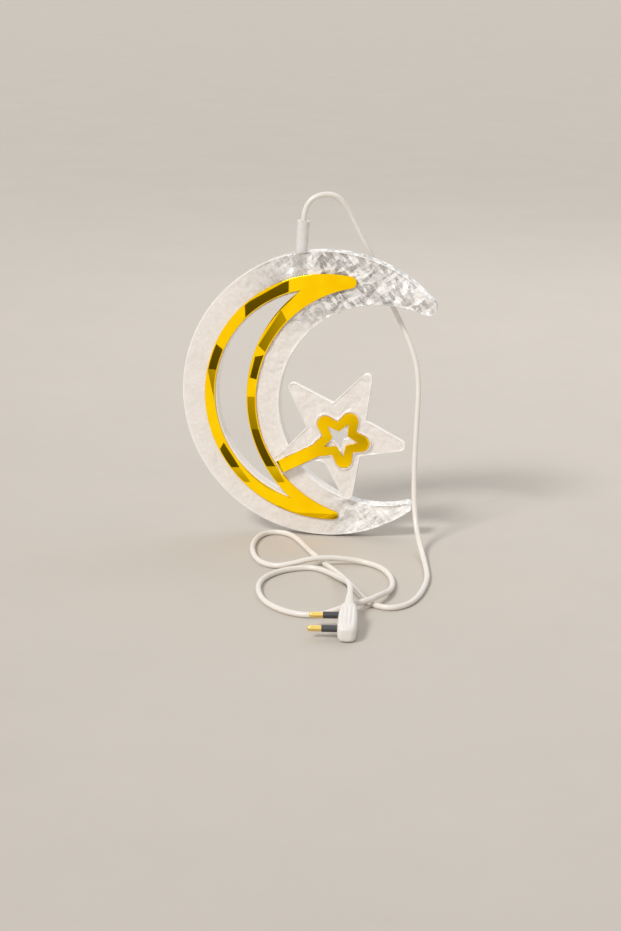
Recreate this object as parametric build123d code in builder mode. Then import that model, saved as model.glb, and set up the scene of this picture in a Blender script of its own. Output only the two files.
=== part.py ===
from build123d import *

import os
from math import cos, pi, radians, sin, sqrt, tan

# Crescent-and-star lamp ornament. +X right, +Y away from the viewer, +Z up, millimetres.
# The origin is the hang point, on the underside of the arch that the lead makes over its hook.

# Where things hang and lie
hang_drop = 146.0  # hang point down to the crescent's centre
crescent_right = -2.0  # crescent's centre from the hang point
table_drop = 255.0  # hang point down to the table top

# Crescent shell: a round disc with a round bay bitten out of it
disc_radius = 108.0
body_wide = 73.3  # from the disc's left edge to the bay, at the crescent's widest
bay_past_rim = 9.5  # how far the bay's circle reaches past the disc's right edge
bay_down = 7.0
upper_horn_round = 6.2
lower_horn_round = 3.6
shell_depth = 12.0
shell_wall = 1.6
cover_thick = 1.6
lip_wide = 1.2
lip_deep = 1.5
lip_clearance = 0.15
least_round = 0.3

# Gold mirror band and the slot through the middle of it. Each edge is a circle, set off a little
# from the disc's centre or the bay's.
gold_thick = 1.0
gold_tape = 0.15
rim_border = 14.6  # clear acrylic outside the band
band_outer_wide = 11.3
band_land = 1.2  # clear strip between the band and the slot's outer edge
band_outer_right = 2.5
band_outer_down = 2.0
slot_outer_right = -1.2
slot_outer_down = 1.7
bay_border = 12.0  # clear acrylic between the band and the bay
band_inner_wide = 15.7
band_inner_left = 5.3
band_inner_up = 1.5
slot_inner_right = 3.2
slot_inner_up = 3.0
band_upper_round = 4.4
band_lower_round = 3.2

# Star panel: four rounded points and a tongue that laps onto the crescent
star_bearing = 210.2  # where the tongue crosses the bay's edge, seen from the bay's centre
star_turn = 206.8  # direction of the tongue, degrees from +X
star_reach = 59.4  # to the points before they are rounded
star_notch = 23.7
star_round = 3.9
star_thick = 5.0
tongue_length = 53.0
tongue_past_border = 1.8  # lap onto the crescent beyond the border's width
tongue_above = 4.0
tongue_corner_round = 7.0
tongue_tape = 0.2
tape_margin = 1.0
tape_set_back = 1.3  # from the bay's edge

# Gold mirror star with its stem
gold_star_reach = 40.3
gold_star_notch = 13.2
gold_star_round = 6.25
gold_star_drop = 4.5  # across the tongue, below the star panel's middle
stem_wide = 9.8
stem_border = 1.2  # clear strip below the stem
stem_end_gap = 1.0
window_reach = 13.7  # star window through the gold and the panel
window_notch = 6.0

# Lamp: a clear sleeve plugged into the crescent's rim, with a small light-emitting diode
lamp_left = 18.2  # from the crescent's centre
lamp_tilt = 3.5  # leans right, degrees
sleeve_diameter = 9.3
sleeve_length = 22.7  # above the rim
spigot_diameter = 8.4
spigot_tip_diameter = 5.4
spigot_length = 20.0
spigot_clearance = 0.1
sleeve_bore = 5.6
sleeve_bore_depth = 6.0  # below the rim
diode_diameter = 3.0
diode_flange_diameter = 3.7
diode_flange_thick = 1.0
diode_seat = 2.5  # flange above the spigot's tip
diode_dome = 1.5  # reach past the spigot's tip
diode_clearance = 0.1
wire_pitch = 2.3
leg_diameter = 0.5
resistor_diameter = 1.4
resistor_length = 3.2
resistor_gap = 2.0  # above the diode's flange
core_diameter = 1.2
shrink_diameter = 2.0
shrink_length = 8.0
shrink_clearance = 0.03
grommet_length = 6.0
grommet_clearance = 0.05

# Supply lead
lead_diameter = 4.0
lamp_exit_run = 7.4  # straight out of the lamp
plug_exit_run = 12.0  # straight out of the plug
arc_share = 0.45  # of the shorter run that each bend takes up

# Plug: a slim angled body with two round pins, lying on the lead with its cable end raised
plug_right = 49.0
plug_front = -237.0
plug_tilt = 8.0
plug_turn = 6.0  # cable end to the left
plug_long = 38.0
plug_wide = 11.5  # from the table up
plug_deep = 13.0  # along the pins, at its widest
plug_widest = 16.0  # from the far end
plug_bulge_radius = 180.0  # of its barrel sides
plug_round = 2.2
plug_edge_round = 1.8
plug_wall = 1.6
plug_split = 5.0  # depth of the half that holds the pins
pin_pitch = 19.0
pin_diameter = 4.0
pin_length = 19.0
pin_neck_diameter = 3.0
pin_collar_diameter = 4.6
pin_collar_length = 10.0
pin_clearance = 0.03
board_long = 28.0
board_wide = 7.6
board_thick = 1.0
capacitor_size = (5.0, 11.0, 6.5)
capacitor_from_middle = 5.0
rectifier_size = (2.4, 4.8, 5.4)
rectifier_from_middle = 6.0
boot_length = 20.0
boot_diameter = 8.0
boot_tip_diameter = 5.0
boot_neck_diameter = 5.4
boot_flange_diameter = 6.8
boot_flange_thick = 1.4
boot_clearance = 0.1
plug_core_length = 5.0
core_clearance = 0.05

os.makedirs("parts", exist_ok=True)

# Circles of the crescent, the slot and the band, as places and radii in the crescent's plane
bay_radius = disc_radius + (bay_past_rim - body_wide) / 2
bay_place = Vector(disc_radius + bay_past_rim - bay_radius, -bay_down)
band_outer_radius = disc_radius - rim_border
band_outer_place = Vector(band_outer_right, -band_outer_down)
slot_outer_radius = band_outer_radius - band_outer_wide - band_land
slot_outer_place = Vector(slot_outer_right, -slot_outer_down)
band_inner_radius = bay_radius + bay_border
band_inner_place = bay_place + Vector(-band_inner_left, band_inner_up)
slot_inner_radius = band_inner_radius + band_inner_wide
slot_inner_place = bay_place + Vector(slot_inner_right, slot_inner_up)

# The star's middle lies back along the tongue from where the tongue crosses the bay's edge
tongue_lap = bay_border + tongue_past_border
tongue_free = tongue_length - tongue_lap
bay_edge = bay_place + Vector(bay_radius, 0).rotate(Axis.Z, star_bearing)
star_place = bay_edge - Vector(tongue_free, 0).rotate(Axis.Z, star_turn)

# Planes: the crescent seen from the front, the star along its tongue, the lamp's axis, the plug's bed
front = Plane(origin=(crescent_right, 0, -hang_drop), x_dir=(1, 0, 0), z_dir=(0, -1, 0))
shell_back = front.offset(-shell_depth / 2)
shell_front = front.offset(shell_depth / 2)
cover_back = shell_front.offset(-cover_thick)

tongue_way = (cos(radians(star_turn)), 0, sin(radians(star_turn)))
star_back = Plane(
    origin=shell_front.offset(tongue_tape).from_local_coords(star_place),
    x_dir=tongue_way,
    z_dir=(0, -1, 0),
)
star_front = star_back.offset(star_thick)

rim_height = sqrt(disc_radius**2 - lamp_left**2)
lean = radians(lamp_tilt)
lamp = Plane(
    origin=front.from_local_coords((-lamp_left, rim_height, 0)),
    x_dir=(cos(lean), 0, -sin(lean)),
    z_dir=(sin(lean), 0, cos(lean)),
)

rise = radians(plug_tilt)
swing = radians(plug_turn)
plug_bed = Plane(
    origin=(plug_right, plug_front, -table_drop),
    x_dir=(cos(swing), sin(swing), 0),
    z_dir=(sin(swing) * sin(rise), -cos(swing) * sin(rise), cos(rise)),
)
pin_face = Plane(
    origin=plug_bed.from_local_coords((-plug_deep / 2, plug_long / 2, plug_wide / 2)),
    x_dir=plug_bed.y_dir,
    z_dir=-plug_bed.x_dir,
)
pin_way = Axis(pin_face.origin, pin_face.z_dir)
cable_way = Plane(
    origin=plug_bed.from_local_coords((0, plug_long, plug_wide / 2)),
    x_dir=plug_bed.x_dir,
    z_dir=plug_bed.y_dir,
)


def export_piece(piece, name):
    """Labels a finished piece and writes it as its own file."""
    piece.part.label = name
    export_step(piece.part, f"parts/{name}.step")


def crescent(inset):
    """Draws the crescent in the sketch in hand, drawn in by inset all round."""
    Circle(disc_radius - inset)
    with Locations(bay_place):
        Circle(bay_radius + inset, mode=Mode.SUBTRACT)
    fillet(vertices().sort_by(Axis.Y)[-1], max(upper_horn_round - inset, least_round))
    fillet(vertices().sort_by(Axis.Y)[0], max(lower_horn_round - inset, least_round))


def slot(outer_grow, inner_grow, mode):
    """Draws the slot in the sketch in hand, with each of its edges moved out."""
    with BuildSketch(mode=Mode.PRIVATE) as opening:
        with Locations(slot_outer_place):
            Circle(slot_outer_radius + outer_grow)
        with Locations(slot_inner_place):
            Circle(slot_inner_radius - inner_grow, mode=Mode.SUBTRACT)
    add(opening.sketch, mode=mode)


def star_points(reach, notch):
    """Corners of a five-pointed star whose first point lies along +X."""
    step = pi / 5
    return [
        ((notch if k % 2 else reach) * cos(k * step), (notch if k % 2 else reach) * sin(k * step))
        for k in range(10)
    ]


def star(reach, notch, mode):
    """Draws a sharp five-pointed star in the sketch in hand."""
    Polygon(*star_points(reach, notch), align=None, mode=mode)


# Rear shell of the crescent, a tray with walls round the rim and the slot
with BuildPart() as crescent_tray:
    with BuildSketch(shell_back):
        crescent(0)
        slot(0, 0, Mode.SUBTRACT)
    extrude(amount=shell_depth - cover_thick)
    with BuildSketch(shell_back.offset(shell_wall)):
        crescent(shell_wall)
        slot(shell_wall, shell_wall, Mode.SUBTRACT)
    extrude(amount=shell_depth, mode=Mode.SUBTRACT)
    with BuildSketch(lamp):
        Circle(spigot_diameter / 2 + spigot_clearance)
        with Locations((0, -shell_depth / 2)):
            Rectangle(spigot_diameter + 2 * spigot_clearance, shell_depth)
    extrude(amount=sleeve_diameter / 2, both=True, mode=Mode.SUBTRACT)
export_piece(crescent_tray, "crescent_tray")

# Front cover of the crescent, with a locating lip inside the tray's rim
with BuildPart() as crescent_cover:
    with BuildSketch(cover_back):
        crescent(0)
        slot(0, 0, Mode.SUBTRACT)
    extrude(amount=cover_thick)
    with BuildSketch(cover_back):
        crescent(shell_wall + lip_clearance)
    extrude(amount=-lip_deep)
    with BuildSketch(cover_back):
        crescent(shell_wall + lip_clearance + lip_wide)
    extrude(amount=-lip_deep, mode=Mode.SUBTRACT)
    with BuildSketch(lamp):
        Circle(spigot_diameter / 2 + spigot_clearance)
    extrude(amount=sleeve_diameter / 2, both=True, mode=Mode.SUBTRACT)
export_piece(crescent_cover, "crescent_cover")


def gold_band():
    """Draws the gold band's outline in the sketch in hand."""
    with Locations(band_outer_place):
        Circle(band_outer_radius)
    with Locations(band_inner_place):
        Circle(band_inner_radius, mode=Mode.SUBTRACT)
    fillet(vertices().sort_by(Axis.Y)[-1], band_upper_round)
    fillet(vertices().sort_by(Axis.Y)[0], band_lower_round)
    slot(band_land, 0, Mode.SUBTRACT)


# Gold band on its tape
with BuildPart() as band_tape:
    with BuildSketch(shell_front):
        gold_band()
    extrude(amount=gold_tape)
export_piece(band_tape, "band_tape")

with BuildPart() as gold_crescent:
    with BuildSketch(shell_front.offset(gold_tape)):
        gold_band()
    extrude(amount=gold_thick)
export_piece(gold_crescent, "gold_crescent")

# Star panel with its tongue
stem_low = gold_star_drop + stem_wide / 2
tongue_below = stem_low + stem_border
with BuildPart() as star_panel:
    with BuildSketch(star_back):
        star(star_reach, star_notch, Mode.ADD)
        points = vertices().filter_by(lambda v: Vector(v).length > (star_reach + star_notch) / 2)
        fillet(points.sort_by(Axis.X)[:-1], star_round)
        with Locations((tongue_length + star_reach / 2, 0)):
            Rectangle(star_reach, star_reach, mode=Mode.SUBTRACT)
        with Locations((tongue_length, (tongue_below - tongue_above) / 2)):
            Rectangle(
                tongue_length - star_notch / 2,
                tongue_below + tongue_above,
                align=(Align.MAX, Align.CENTER),
            )
        corner = Vector(*star_points(star_reach, star_notch)[1])
        fillet(vertices().sort_by_distance(corner)[0], tongue_corner_round)
        star(window_reach, window_notch, Mode.SUBTRACT)
    extrude(amount=star_thick)
export_piece(star_panel, "star_panel")

# Tape pad between the tongue and the crescent's cover
with BuildPart() as tongue_pad:
    with BuildSketch(star_back):
        with Locations((tongue_length - tape_margin, (tongue_below - tongue_above) / 2)):
            Rectangle(
                tongue_lap - tape_margin - tape_set_back,
                tongue_below + tongue_above - 2 * tape_margin,
                align=(Align.MAX, Align.CENTER),
            )
    extrude(amount=-tongue_tape)
export_piece(tongue_pad, "tongue_pad")


def gold_star():
    """Draws the lobed gold star, its stem and its star window in the sketch in hand."""
    star(gold_star_reach, gold_star_notch, Mode.ADD)
    points = vertices().filter_by(lambda v: Vector(v).length > (gold_star_reach + gold_star_notch) / 2)
    fillet(points, gold_star_round)
    Rectangle(tongue_length - stem_end_gap, stem_wide, align=(Align.MIN, Align.CENTER))
    star(window_reach, window_notch, Mode.SUBTRACT)


# Gold star on its tape
star_tape_plane = Plane(
    origin=star_front.from_local_coords((0, gold_star_drop, 0)),
    x_dir=tongue_way,
    z_dir=(0, -1, 0),
)
with BuildPart() as star_tape:
    with BuildSketch(star_tape_plane):
        gold_star()
    extrude(amount=gold_tape)
export_piece(star_tape, "star_tape")

with BuildPart() as gold_star_sheet:
    with BuildSketch(star_tape_plane.offset(gold_tape)):
        gold_star()
    extrude(amount=gold_thick)
export_piece(gold_star_sheet, "gold_star")

# Clear lamp sleeve: a round stub on the rim and a tapered spigot inside the shell
flange_height = diode_seat - spigot_length
with BuildPart() as lamp_sleeve:
    with BuildSketch(lamp.offset(-sleeve_diameter / 2)):
        Circle(sleeve_diameter / 2)
    extrude(amount=sleeve_length + sleeve_diameter / 2)
    with BuildSketch(front):
        Circle(disc_radius)
    extrude(amount=shell_depth, both=True, mode=Mode.SUBTRACT)
    with BuildSketch(lamp.offset(sleeve_diameter / 2)):
        Circle(spigot_diameter / 2)
    with BuildSketch(lamp):
        Circle(spigot_diameter / 2)
    loft()
    with BuildSketch(lamp):
        Circle(spigot_diameter / 2)
    with BuildSketch(lamp.offset(-spigot_length)):
        Circle(spigot_tip_diameter / 2)
    loft()
    with BuildSketch(lamp.offset(-sleeve_bore_depth)):
        Circle(sleeve_bore / 2)
    extrude(amount=sleeve_bore_depth + sleeve_length, mode=Mode.SUBTRACT)
    with BuildSketch(lamp.offset(flange_height)):
        Circle(diode_flange_diameter / 2 + diode_clearance)
    extrude(amount=spigot_length, mode=Mode.SUBTRACT)
    with BuildSketch(lamp.offset(-spigot_length)):
        Circle(diode_diameter / 2 + diode_clearance)
    extrude(amount=spigot_length, mode=Mode.SUBTRACT)
export_piece(lamp_sleeve, "lamp_sleeve")

# Diode lens, a domed body on a flange that sits on the step in the spigot
with BuildPart() as diode_lens:
    with BuildSketch(lamp.offset(flange_height)):
        Circle(diode_flange_diameter / 2)
    extrude(amount=diode_flange_thick)
    with BuildSketch(lamp.offset(flange_height)):
        Circle(diode_diameter / 2)
    extrude(amount=-(diode_seat + diode_dome))
    fillet(edges().group_by(Axis.Z)[0], diode_dome * 0.95)
export_piece(diode_lens, "diode_lens")

# Diode legs, one of them broken by the series resistor
leg_base = flange_height + diode_flange_thick
resistor_base = leg_base + resistor_gap
joint_height = shrink_length / 2 - sleeve_bore_depth + shrink_clearance
with BuildPart() as diode_legs:
    with BuildSketch(lamp.offset(leg_base)):
        with Locations((-wire_pitch / 2, 0)):
            Circle(leg_diameter / 2)
    extrude(amount=joint_height - leg_base)
    with BuildSketch(lamp.offset(leg_base)):
        with Locations((wire_pitch / 2, 0)):
            Circle(leg_diameter / 2)
    extrude(amount=resistor_gap)
    with BuildSketch(lamp.offset(resistor_base + resistor_length)):
        with Locations((wire_pitch / 2, 0)):
            Circle(leg_diameter / 2)
    extrude(amount=joint_height - resistor_base - resistor_length)
export_piece(diode_legs, "diode_legs")

with BuildPart() as series_resistor:
    with BuildSketch(lamp.offset(resistor_base)):
        with Locations((wire_pitch / 2, 0)):
            Circle(resistor_diameter / 2)
    extrude(amount=resistor_length)
    fillet(edges().filter_by(GeomType.CIRCLE), resistor_diameter / 5)
export_piece(series_resistor, "series_resistor")

# Lead cores inside the sleeve, and shrink tubes over the joints with the legs
with BuildPart() as lamp_cores:
    with BuildSketch(lamp.offset(joint_height)):
        with GridLocations(wire_pitch, 0, 2, 1):
            Circle(core_diameter / 2)
    extrude(amount=sleeve_length - joint_height)
export_piece(lamp_cores, "lamp_cores")

with BuildPart() as shrink_tubes:
    with BuildSketch(lamp.offset(joint_height - shrink_length / 2)):
        with GridLocations(wire_pitch, 0, 2, 1):
            Circle(shrink_diameter / 2)
            Circle(core_diameter / 2 + shrink_clearance, mode=Mode.SUBTRACT)
    extrude(amount=shrink_length)
export_piece(shrink_tubes, "shrink_tubes")

# Grommet that closes the sleeve's mouth round the two cores
with BuildPart() as lamp_grommet:
    with BuildSketch(lamp.offset(sleeve_length - grommet_length)):
        Circle(sleeve_bore / 2 - grommet_clearance)
        with GridLocations(wire_pitch, 0, 2, 1):
            Circle(core_diameter / 2 + grommet_clearance, mode=Mode.SUBTRACT)
    extrude(amount=grommet_length)
export_piece(lamp_grommet, "lamp_grommet")

# Route of the supply lead: out of the sleeve, over the hook, down behind the upper horn and in
# front of the lower one, then in loose loops on the table to the plug
lead_start = lamp.from_local_coords((0, 0, sleeve_length))
lead_end = cable_way.from_local_coords((0, 0, boot_length))
on_table = lead_diameter / 2 - table_drop
crossing = 1.5 * lead_diameter + 0.5 - table_drop
lead_route = [
    lead_start,
    lamp.from_local_coords((0, 0, sleeve_length + lamp_exit_run)),
    (-13.5, 1.5, -1.0),
    (-4.0, 4.0, 2.6),
    (5.5, 7.0, 0.5),
    (13.0, 10.0, -9.0),
    (20.0, 12.5, -24.5),
    (29.5, 15.0, -44.0),
    (37.0, 15.5, -63.0),
    (45.0, 15.0, -80.0),
    (54.0, 13.0, -97.0),
    (61.0, 10.0, -111.5),
    (65.5, 7.0, -126.0),
    (67.0, 3.0, -143.0),
    (66.5, -1.0, -162.0),
    (66.0, -6.0, -183.0),
    (66.0, -11.0, -204.0),
    (67.0, -17.0, -222.0),
    (69.5, -25.0, -238.0),
    (73.5, -37.0, -247.5),
    (78.0, -53.0, -252.0),
    (82.5, -75.0, on_table),
    (86.5, -99.0, on_table),
    (86.5, -122.0, on_table),
    (84.5, -144.0, on_table),
    (79.5, -160.5, on_table),
    (69.5, -169.5, on_table),
    (58.0, -165.5, on_table),
    (49.0, -154.0, on_table),
    (42.0, -138.0, on_table),
    (33.5, -120.5, on_table),
    (24.5, -103.0, on_table),
    (15.0, -87.5, on_table),
    (6.0, -73.5, on_table),
    (-3.5, -56.0, on_table),
    (-12.5, -37.5, on_table),
    (-20.5, -22.0, on_table),
    (-28.5, -11.5, on_table),
    (-38.5, -7.5, on_table),
    (-47.5, -13.0, on_table),
    (-51.0, -28.0, on_table),
    (-49.5, -50.0, on_table),
    (-43.5, -71.5, on_table),
    (-34.5, -86.5, on_table),
    (-23.0, -91.5, on_table),
    (-11.0, -88.5, -251.0),
    (0.5, -83.5, crossing),
    (13.0, -79.0, crossing),
    (27.0, -74.0, -250.5),
    (40.5, -73.0, on_table),
    (51.5, -82.5, on_table),
    (60.0, -99.0, on_table),
    (64.5, -119.0, on_table),
    (64.5, -138.0, -251.5),
    (60.5, -155.0, crossing),
    (54.0, -168.0, crossing),
    (45.5, -176.5, crossing),
    (35.5, -184.0, -250.5),
    (26.0, -189.5, on_table),
    (15.5, -192.0, on_table),
    (4.5, -189.5, on_table),
    (-6.5, -182.0, on_table),
    (-16.0, -171.0, on_table),
    (-23.0, -157.0, on_table),
    (-27.5, -141.0, on_table),
    (-28.5, -124.5, on_table),
    (-24.5, -110.5, on_table),
    (-17.0, -99.5, on_table),
    (-8.0, -93.0, on_table),
    (1.5, -90.0, on_table),
    (10.5, -94.0, on_table),
    (19.0, -104.0, -252.5),
    (26.0, -118.0, -250.3),
    (32.0, -134.0, -246.5),
    (37.5, -151.0, -242.0),
    cable_way.from_local_coords((0, 0, boot_length + plug_exit_run)),
    lead_end,
]


def bend_radii(route):
    """Radius of the bend at each inner point: as large as the shorter of its two runs allows."""
    points = [Vector(point) for point in route]
    radii = []
    for before, here, after in zip(points, points[1:], points[2:]):
        turn = radians((here - before).get_angle(after - here))
        radii.append(arc_share * min((here - before).length, (after - here).length) / tan(turn / 2))
    return radii


lead_radii = bend_radii(lead_route)
with BuildPart() as supply_lead:
    with BuildLine() as lead_line:
        FilletPolyline(*lead_route, radius=lead_radii)
    with BuildSketch(Plane(origin=lead_start, z_dir=lamp.z_dir)):
        Circle(lead_diameter / 2)
    sweep()
export_piece(supply_lead, "supply_lead")
lead_length = lead_line.wires()[0].length
section_volume = pi * lead_diameter**2 / 4 * lead_length
print("lead length", round(lead_length, 1), "tightest bends", [round(r, 1) for r in sorted(lead_radii)[:8]])
print("lead volume over section times length", round(supply_lead.part.volume / section_volume, 4))


def plug_outline(inset):
    """Draws the plug's barrel-sided outline in the sketch in hand, drawn in by inset all round."""
    with BuildSketch(mode=Mode.PRIVATE) as barrel:
        with Locations((0, plug_long / 2)):
            Rectangle(plug_deep - 2 * inset, plug_long - 2 * inset)
        for side in (-1, 1):
            with Locations((side * (plug_bulge_radius - plug_deep / 2), plug_widest)):
                Circle(plug_bulge_radius - inset, mode=Mode.INTERSECT)
        fillet(vertices(), max(plug_round - inset, least_round))
    add(barrel.sketch)


# Plug body, hollow, with the boot's hole through its cable end
with BuildPart() as plug_body:
    with BuildSketch(plug_bed):
        plug_outline(0)
    extrude(amount=plug_wide)
    fillet(faces().filter_by(plug_bed).edges(), plug_edge_round)
    with BuildSketch(plug_bed.offset(plug_wall)):
        plug_outline(plug_wall)
    extrude(amount=plug_wide - 2 * plug_wall, mode=Mode.SUBTRACT)
    with BuildSketch(cable_way):
        Circle(boot_neck_diameter / 2 + boot_clearance)
    extrude(amount=-2 * plug_wall, mode=Mode.SUBTRACT)

# Its two halves: the base holds the pins, the cover closes the other side
parting = pin_face.offset(-plug_split)
with BuildPart() as plug_base:
    add(plug_body.part)
    split(bisect_by=parting, keep=Keep.TOP)
    with BuildSketch(pin_face):
        with GridLocations(pin_pitch, 0, 2, 1):
            Circle(pin_collar_diameter / 2 + pin_clearance)
    extrude(amount=-2 * plug_wall, mode=Mode.SUBTRACT)
export_piece(plug_base, "plug_base")

with BuildPart() as plug_cover:
    add(plug_body.part)
    split(bisect_by=parting, keep=Keep.BOTTOM)
export_piece(plug_cover, "plug_cover")

# Round pins with necks, and the dark collars round the necks
board_face = plug_deep / 2 - core_diameter / 2 - core_clearance - board_thick
with BuildPart() as plug_pins:
    with BuildSketch(pin_face.offset(-board_face)):
        with GridLocations(pin_pitch, 0, 2, 1):
            Circle(pin_neck_diameter / 2)
    extrude(amount=board_face + pin_collar_length)
    with BuildSketch(pin_face.offset(pin_collar_length)):
        with GridLocations(pin_pitch, 0, 2, 1):
            Circle(pin_diameter / 2)
    extrude(amount=pin_length - pin_collar_length)
    fillet(edges().group_by(pin_way)[-1], pin_diameter * 0.3)
export_piece(plug_pins, "plug_pins")

with BuildPart() as pin_collars:
    with BuildSketch(pin_face.offset(-plug_wall)):
        with GridLocations(pin_pitch, 0, 2, 1):
            Circle(pin_collar_diameter / 2)
            Circle(pin_neck_diameter / 2 + pin_clearance, mode=Mode.SUBTRACT)
    extrude(amount=plug_wall + pin_collar_length)
export_piece(pin_collars, "pin_collars")

# Driver board across the pins' ends, with its capacitor and rectifier
board_back = pin_face.offset(-board_face - board_thick)
with BuildPart() as driver_board:
    with BuildSketch(board_back):
        Rectangle(board_long, board_wide)
    extrude(amount=board_thick)
export_piece(driver_board, "driver_board")

with BuildPart() as dropper_capacitor:
    with BuildSketch(board_back):
        with Locations((-capacitor_from_middle, 0)):
            Rectangle(capacitor_size[1], capacitor_size[2])
    extrude(amount=-capacitor_size[0])
    fillet(edges().filter_by(pin_way), capacitor_size[2] / 8)
export_piece(dropper_capacitor, "dropper_capacitor")

with BuildPart() as bridge_rectifier:
    with BuildSketch(board_back):
        with Locations((rectifier_from_middle, 0)):
            Rectangle(rectifier_size[1], rectifier_size[2])
    extrude(amount=-rectifier_size[0])
    chamfer(faces().sort_by(pin_way)[0].edges(), rectifier_size[0] / 8)
export_piece(bridge_rectifier, "bridge_rectifier")

# Tapered boot that holds the lead in the plug, with the cores running through it to the board
with BuildPart() as plug_boot:
    with BuildSketch(cable_way):
        Circle(boot_diameter / 2)
    with BuildSketch(cable_way.offset(boot_length)):
        Circle(boot_tip_diameter / 2)
    loft()
    with BuildSketch(cable_way.offset(-plug_wall)):
        Circle(boot_neck_diameter / 2)
    extrude(amount=plug_wall)
    with BuildSketch(cable_way.offset(-plug_wall - boot_flange_thick)):
        Circle(boot_flange_diameter / 2)
    extrude(amount=boot_flange_thick)
    with BuildSketch(cable_way.offset(boot_length)):
        with GridLocations(0, wire_pitch, 1, 2):
            Circle(core_diameter / 2 + core_clearance)
    extrude(amount=-2 * boot_length, mode=Mode.SUBTRACT)
export_piece(plug_boot, "plug_boot")

with BuildPart() as plug_cores:
    with BuildSketch(cable_way.offset(boot_length)):
        with GridLocations(0, wire_pitch, 1, 2):
            Circle(core_diameter / 2)
    extrude(amount=-(boot_length + plug_wall + boot_flange_thick + plug_core_length))
export_piece(plug_cores, "plug_cores")
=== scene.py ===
from math import atan2, cos, pi, radians, sin, sqrt

import bmesh
import bpy
import numpy as np
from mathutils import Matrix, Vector


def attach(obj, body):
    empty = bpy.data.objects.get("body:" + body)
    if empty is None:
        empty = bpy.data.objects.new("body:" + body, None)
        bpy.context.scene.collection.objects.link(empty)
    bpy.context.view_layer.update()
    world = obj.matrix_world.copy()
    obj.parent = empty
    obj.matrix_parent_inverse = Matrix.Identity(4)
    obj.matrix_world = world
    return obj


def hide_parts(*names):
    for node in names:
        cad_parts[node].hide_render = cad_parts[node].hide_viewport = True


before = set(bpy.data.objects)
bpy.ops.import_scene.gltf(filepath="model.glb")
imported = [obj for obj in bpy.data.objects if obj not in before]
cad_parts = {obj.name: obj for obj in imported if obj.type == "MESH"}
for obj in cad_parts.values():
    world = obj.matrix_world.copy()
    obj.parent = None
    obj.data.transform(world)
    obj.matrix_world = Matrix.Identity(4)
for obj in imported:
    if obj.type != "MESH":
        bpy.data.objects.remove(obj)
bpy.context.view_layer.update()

# Sizes are in millimetres and become metres when a mesh is made. The crescent's own plane has
# x to the right and z up from the crescent's centre, and y is the depth, minus towards the viewer.
MM = 0.001
CRESCENT_CENTER = np.array([-2.0, -146.0])
TABLE = -255.0

# Crescent
DISC = (0.0, 0.0, 108.0)  # centre x, centre z, radius
BAY = (41.4, -7.0, 76.1)
HORN_ROUNDS = (6.2, 3.6)  # upper, lower
SLOT_OUTER = (-1.2, -1.7, 80.9)
SLOT_INNER = (44.6, -4.0, 103.8)
SHELL_FRONT = -6.0
SHELL_BACK = 6.0
PLATE = 1.6
WALL = 1.6
WALL_CLEAR = 0.05
UPPER_CRACKLE = (-75.0, -15.0)  # where across the crescent the upper horn's crackle starts and is full
LOWER_CRACKLE = (-12.0, 28.0)
CRACKLE_BLEND = 40.0  # half height of the band in which one horn's crackle gives way to the other's
HIGHLIGHT_FADE = 0.9  # how far the painted white highlight along an edge reaches into a face
# share of full white painted on the walls as a highlight
WALL_HIGHLIGHT = 0.4
SPIGOT_WINDOW = (-20.6, 3.6, 6.6)  # clear acrylic over the spigot: middle, full and fading half width

# Gold band
BAND_OUTER = (2.5, -2.0, 93.4)
BAND_INNER = (36.1, -5.5, 88.1)
BAND_ROUNDS = (4.4, 3.2)
BAND_LAND = 1.2
GOLD_TAPE = 0.15
GOLD_THICK = 1.0

# Star
STAR_CENTER = CRESCENT_CENTER + np.array([10.6, -27.6])
STAR_TURN = radians(206.8)
STAR_REACH, STAR_NOTCH, STAR_ROUND = 59.4, 23.7, 3.9
STAR_NOTCH_ROUND, TONGUE_CORNER_ROUND = 1.2, 7.0
STAR_BACK, STAR_THICK = -6.2, 5.0
TONGUE_LENGTH, TONGUE_ABOVE, TONGUE_BELOW = 53.0, 4.0, 10.6
GOLD_STAR_REACH, GOLD_STAR_NOTCH, GOLD_STAR_ROUND = 40.3, 13.2, 6.25
GOLD_STAR_DROP, STEM_HALF, STEM_LENGTH = 4.5, 4.9, 52.0
WINDOW_REACH, WINDOW_NOTCH = 13.7, 6.0
GOLD_STAR_NOTCH_ROUND, WINDOW_ROUND, WINDOW_NOTCH_ROUND = 1.5, 0.4, 0.3
STAR_CRACKLE, STAR_CALM = 0.55, 0.4  # strength of the crackle, and plain width along the edges
LIP_HIGH, LIP_OUT, LIP_WIDE = 0.9, 1.2, 0.75  # lip round the gold star: height, place, half width
LIP_CLEAR, LIP_FADE, LIP_RISE = 1.0, 1.5, 1.0  # room beside it without shards, and widths of the fades

# Rows, columns and bevels of the faces
SHELL_ROWS, SHELL_COLUMNS, SHELL_BEVEL = 600, 30, 0.6
BAND_ROWS, BAND_COLUMNS, BAND_BEVEL = 420, 10, 0.25
STAR_ROWS, STAR_COLUMNS, STAR_BEVEL = 900, 44, 0.6
GOLD_STAR_ROWS, GOLD_STAR_COLUMNS, GOLD_STAR_BEVEL = 700, 16, 0.35
TIP_ROWS = 7
OUTLINE_SAMPLES = 8001
BEVEL_COLUMNS = np.array([0.0, 0.12, 0.45, 1.0])  # places of a bevel's columns, as shares of its size
BEVEL_MOST = 0.4  # share of a face's width that one bevel may take
WALL_MOST = 0.3  # share of the width beside a wall that the wall may take

# Limits of the meshes
WELD, COLLAPSE, SHARP_EDGE = 0.004, 0.002, radians(35.0)
TINY, SMALL, FAR_OFF = 1e-9, 1e-6, 1e6


# Meshes


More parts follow.
